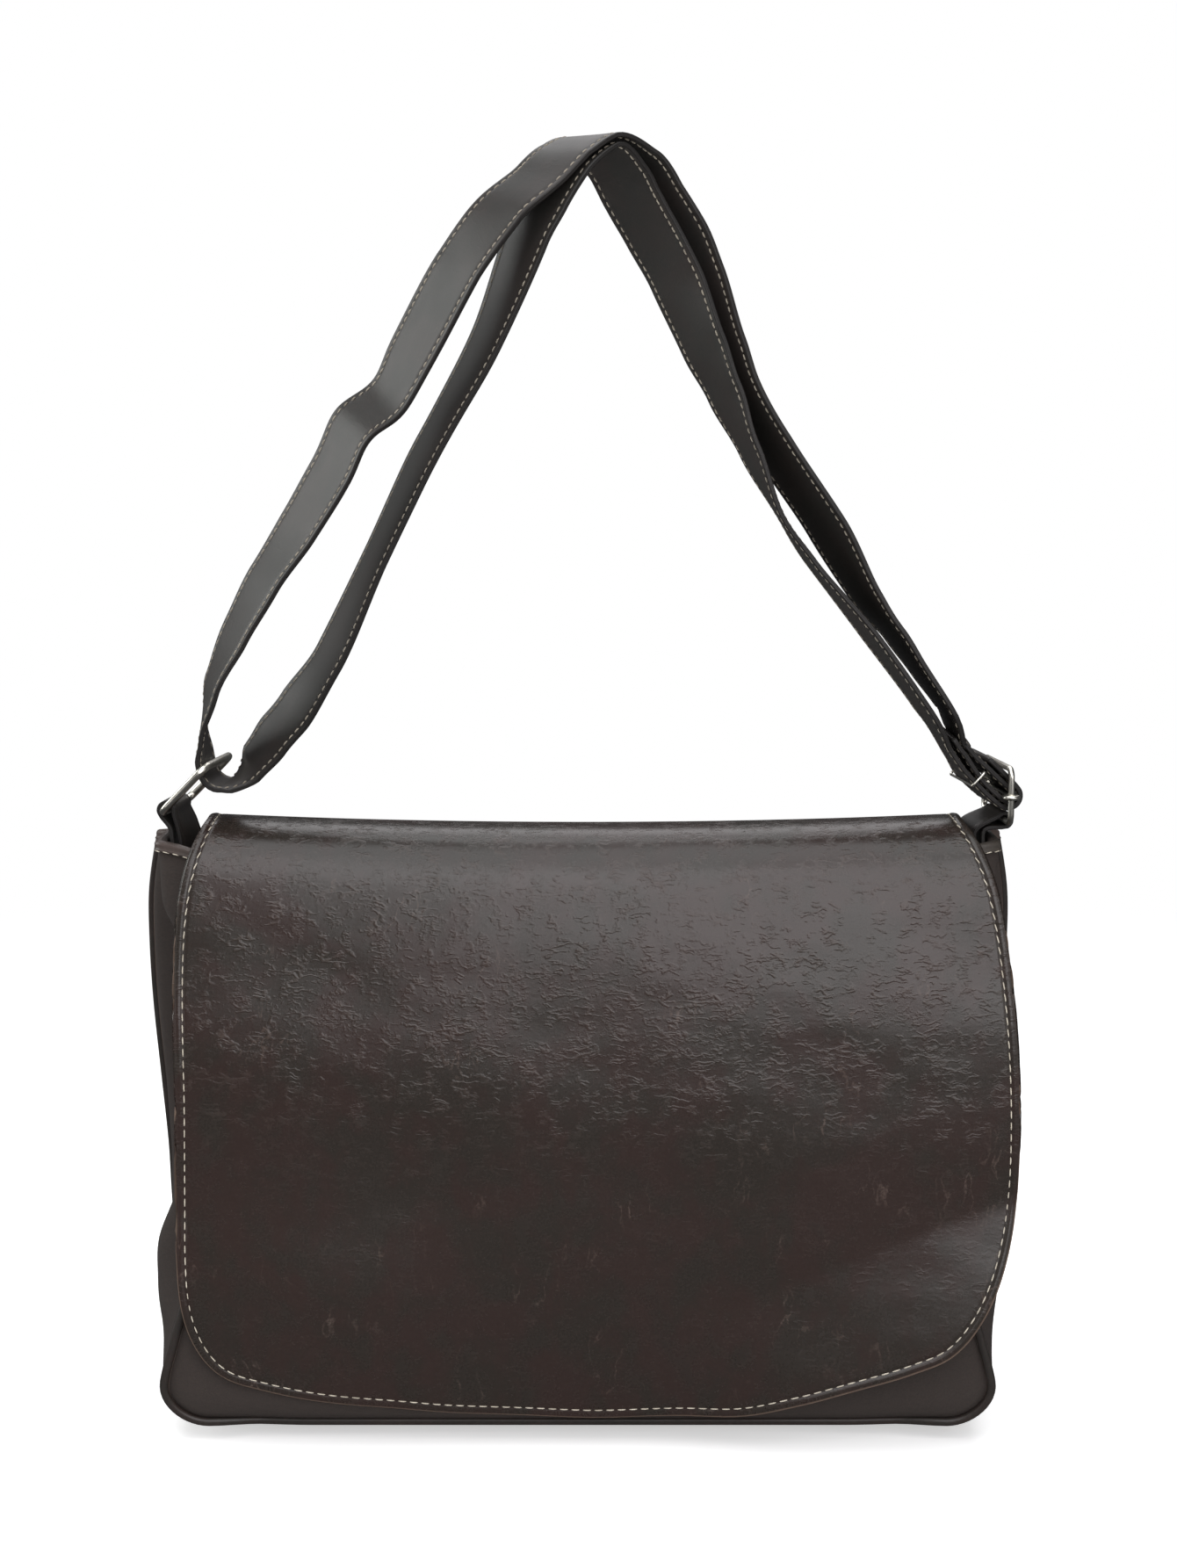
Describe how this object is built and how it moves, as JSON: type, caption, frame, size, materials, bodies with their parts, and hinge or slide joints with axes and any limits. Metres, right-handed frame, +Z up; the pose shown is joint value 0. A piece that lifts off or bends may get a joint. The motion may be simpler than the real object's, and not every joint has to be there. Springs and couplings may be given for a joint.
{
  "type": "briefcase",
  "caption": "Soft leather briefcase with a full front flap, piped side gusset and a doubled shoulder strap on a ring and a wire slider, hanging by its strap.",
  "frame": {"origin": "underside of the strap's inner strand at the top of its turn, where it rests on the peg it hangs from", "axes": "+Z up, +X to the right seen from the front, +Y from the flap towards the back"},
  "size_m": [0.4056, 0.1131, 0.5787],
  "materials": {
    "leather": "satin, soft waxed grain",
    "piping": "satin",
    "strap_leather": "satin, stitched edges",
    "silver_metal": "bright plated wire",
    "dark_metal": "dark plated"
  },
  "bodies": {
    "root": {"back_panel": "leather", "front_panel": "leather", "gusset": "leather", "front_piping": "piping", "back_piping": "piping", "top_binding": "leather", "flap": "leather", "tab_left": "strap_leather", "tab_right": "strap_leather", "ring_left": "silver_metal", "slider_frame": "silver_metal", "slider_bar": "silver_metal", "strap": "strap_leather", "rivet": "dark_metal", "keeper": "silver_metal"}
  },
  "joints": []
}
